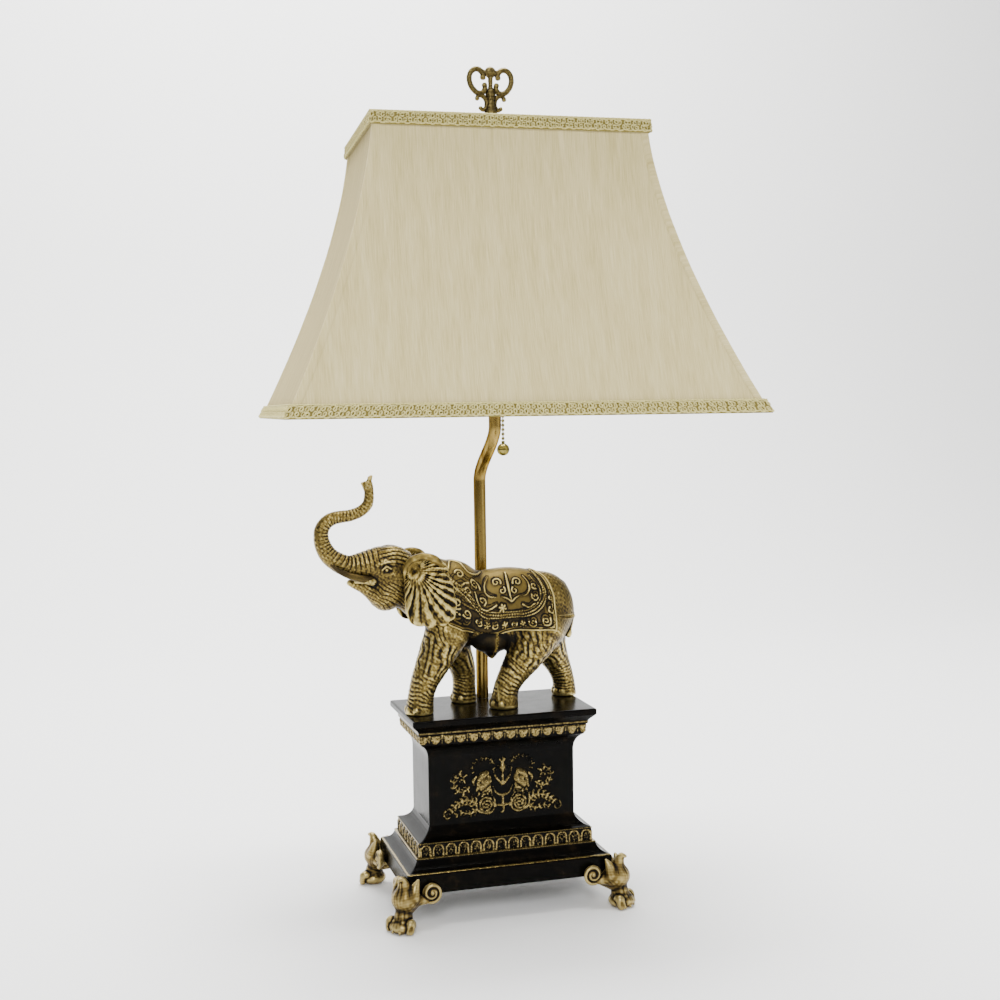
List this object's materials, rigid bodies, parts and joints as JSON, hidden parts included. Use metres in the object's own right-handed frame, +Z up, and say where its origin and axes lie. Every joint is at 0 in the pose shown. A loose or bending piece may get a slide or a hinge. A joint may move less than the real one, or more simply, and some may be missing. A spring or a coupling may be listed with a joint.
{
  "type": "table lamp",
  "caption": "Table lamp with a walking elephant figure on a footed pedestal, a bent brass stem with pull chain, and a flared rectangular cloth shade.",
  "frame": {"origin": "on the table, straight below the axis of the shade and the socket", "axes": "+Z up, -Y the front, the elephant faces -X"},
  "size_m": [0.4286, 0.3434, 0.7618],
  "materials": {
    "gold_resin": "cast resin in metallic antique gold with a near-black wash in the recesses",
    "black_resin": "cast resin in black-bronze lacquer, satin, with gilded mouldings",
    "antique_metal": "antiqued brass casting",
    "brass": "antique brass, satin, lacquered",
    "steel": "zinc plated",
    "aluminium": "rolled thread, bright",
    "linen": "slubbed beige shade cloth on a stiff backing",
    "lining": "white laminated lining",
    "gimp": "woven scroll gimp braid, pale olive cream",
    "bulb_glass": "frosted inside",
    "phenolic": "black phenolic moulding",
    "fibre_paper": "brown fibre paper",
    "board": "brown hardboard",
    "rubber": "black, moulded"
  },
  "bodies": {
    "lamp": {"pedestal_casting": "black_resin", "bottom_cover": "board", "cord_grommet": "rubber", "elephant_figure": "gold_resin", "stem_tube": "brass", "stem_nipple": "steel", "stem_washer": "steel", "stem_nut": "steel", "socket_nipple": "steel", "harp_saddle": "brass", "socket_cap": "brass", "socket_shell": "brass", "socket_liner": "fibre_paper", "socket_body": "phenolic", "screw_shell": "brass", "centre_contact": "brass", "chain_guide": "brass", "lever_pin": "steel", "harp_wire": "brass", "harp_stud": "brass", "figure_bolt_near": "steel", "figure_bolt_far": "steel", "paw_foot_front_left": "gold_resin", "foot_screw_front_left": "steel", "paw_foot_front_right": "gold_resin", "foot_screw_front_right": "steel", "paw_foot_back_right": "gold_resin", "foot_screw_back_right": "steel", "paw_foot_back_left": "gold_resin", "foot_screw_back_left": "steel"},
    "lever": {"switch_lever": "brass"},
    "chain_slider": {"chain_lead": "brass"},
    "chain_coupling": {"chain_joint_bead": "brass"},
    "chain": {"pull_chain": "brass", "pull_ball": "brass"},
    "bulb": {"bulb_cap": "aluminium", "bulb_glass": "bulb_glass"},
    "ferrule_left": {"harp_ferrule_left": "brass"},
    "ferrule_right": {"harp_ferrule_right": "brass"},
    "shade": {"bottom_gimp": "gimp", "corner_tape_back_left": "linen", "corner_tape_back_right": "linen", "corner_tape_front_left": "linen", "corner_tape_front_right": "linen", "shade_bottom_ring": "steel", "shade_lining": "lining", "shade_panel_back": "linen", "shade_panel_front": "linen", "shade_panel_left": "linen", "shade_panel_right": "linen", "shade_rib_back_left": "steel", "shade_rib_back_right": "steel", "shade_rib_front_left": "steel", "shade_rib_front_right": "steel", "shade_spider": "brass", "shade_top_ring": "steel", "top_gimp": "gimp"},
    "finial": {"finial": "antique_metal"}
  },
  "joints": [
    {"name": "chain_pull", "type": "slide", "parent": "lamp", "child": "chain_slider", "axis": [0, 0, -1], "range_m": [0, 0.008], "stiffness_N_per_m": 400, "springref_m": -0.002},
    {"name": "chain_side_swing", "type": "hinge", "parent": "chain_slider", "child": "chain_coupling", "pos_m": [0, -0.026, 0.4815], "axis": [0, 1, 0], "range_deg": [-30, 30]},
    {"name": "chain_fore_swing", "type": "hinge", "parent": "chain_coupling", "child": "chain", "pos_m": [0, -0.026, 0.4768], "axis": [1, 0, 0], "range_deg": [-30, 12]},
    {"name": "lever_rock", "type": "hinge", "parent": "lamp", "child": "lever", "pos_m": [0, -0.0035, 0.478], "axis": [1, 0, 0], "range_deg": [0, 40]},
    {"name": "bulb_turn", "type": "hinge", "parent": "lamp", "child": "bulb", "pos_m": [0, 0, 0.51], "axis": [0, 0, 1], "continuous": true},
    {"name": "ferrule_left_lift", "type": "slide", "parent": "lamp", "child": "ferrule_left", "axis": [0, 0, 1], "range_m": [0, 0.014]},
    {"name": "ferrule_right_lift", "type": "slide", "parent": "lamp", "child": "ferrule_right", "axis": [0, 0, 1], "range_m": [0, 0.014]},
    {"name": "shade_swivel", "type": "hinge", "parent": "lamp", "child": "shade", "pos_m": [0, 0, 0.6955], "axis": [0, 0, 1], "continuous": true},
    {"name": "finial_turn", "type": "hinge", "parent": "lamp", "child": "finial", "pos_m": [0, 0, 0.7], "axis": [0, 0, 1], "continuous": true}
  ],
  "couplings": [
    {"joint": "lever_rock", "follows": "chain_pull", "rad_per_m": 85}
  ]
}
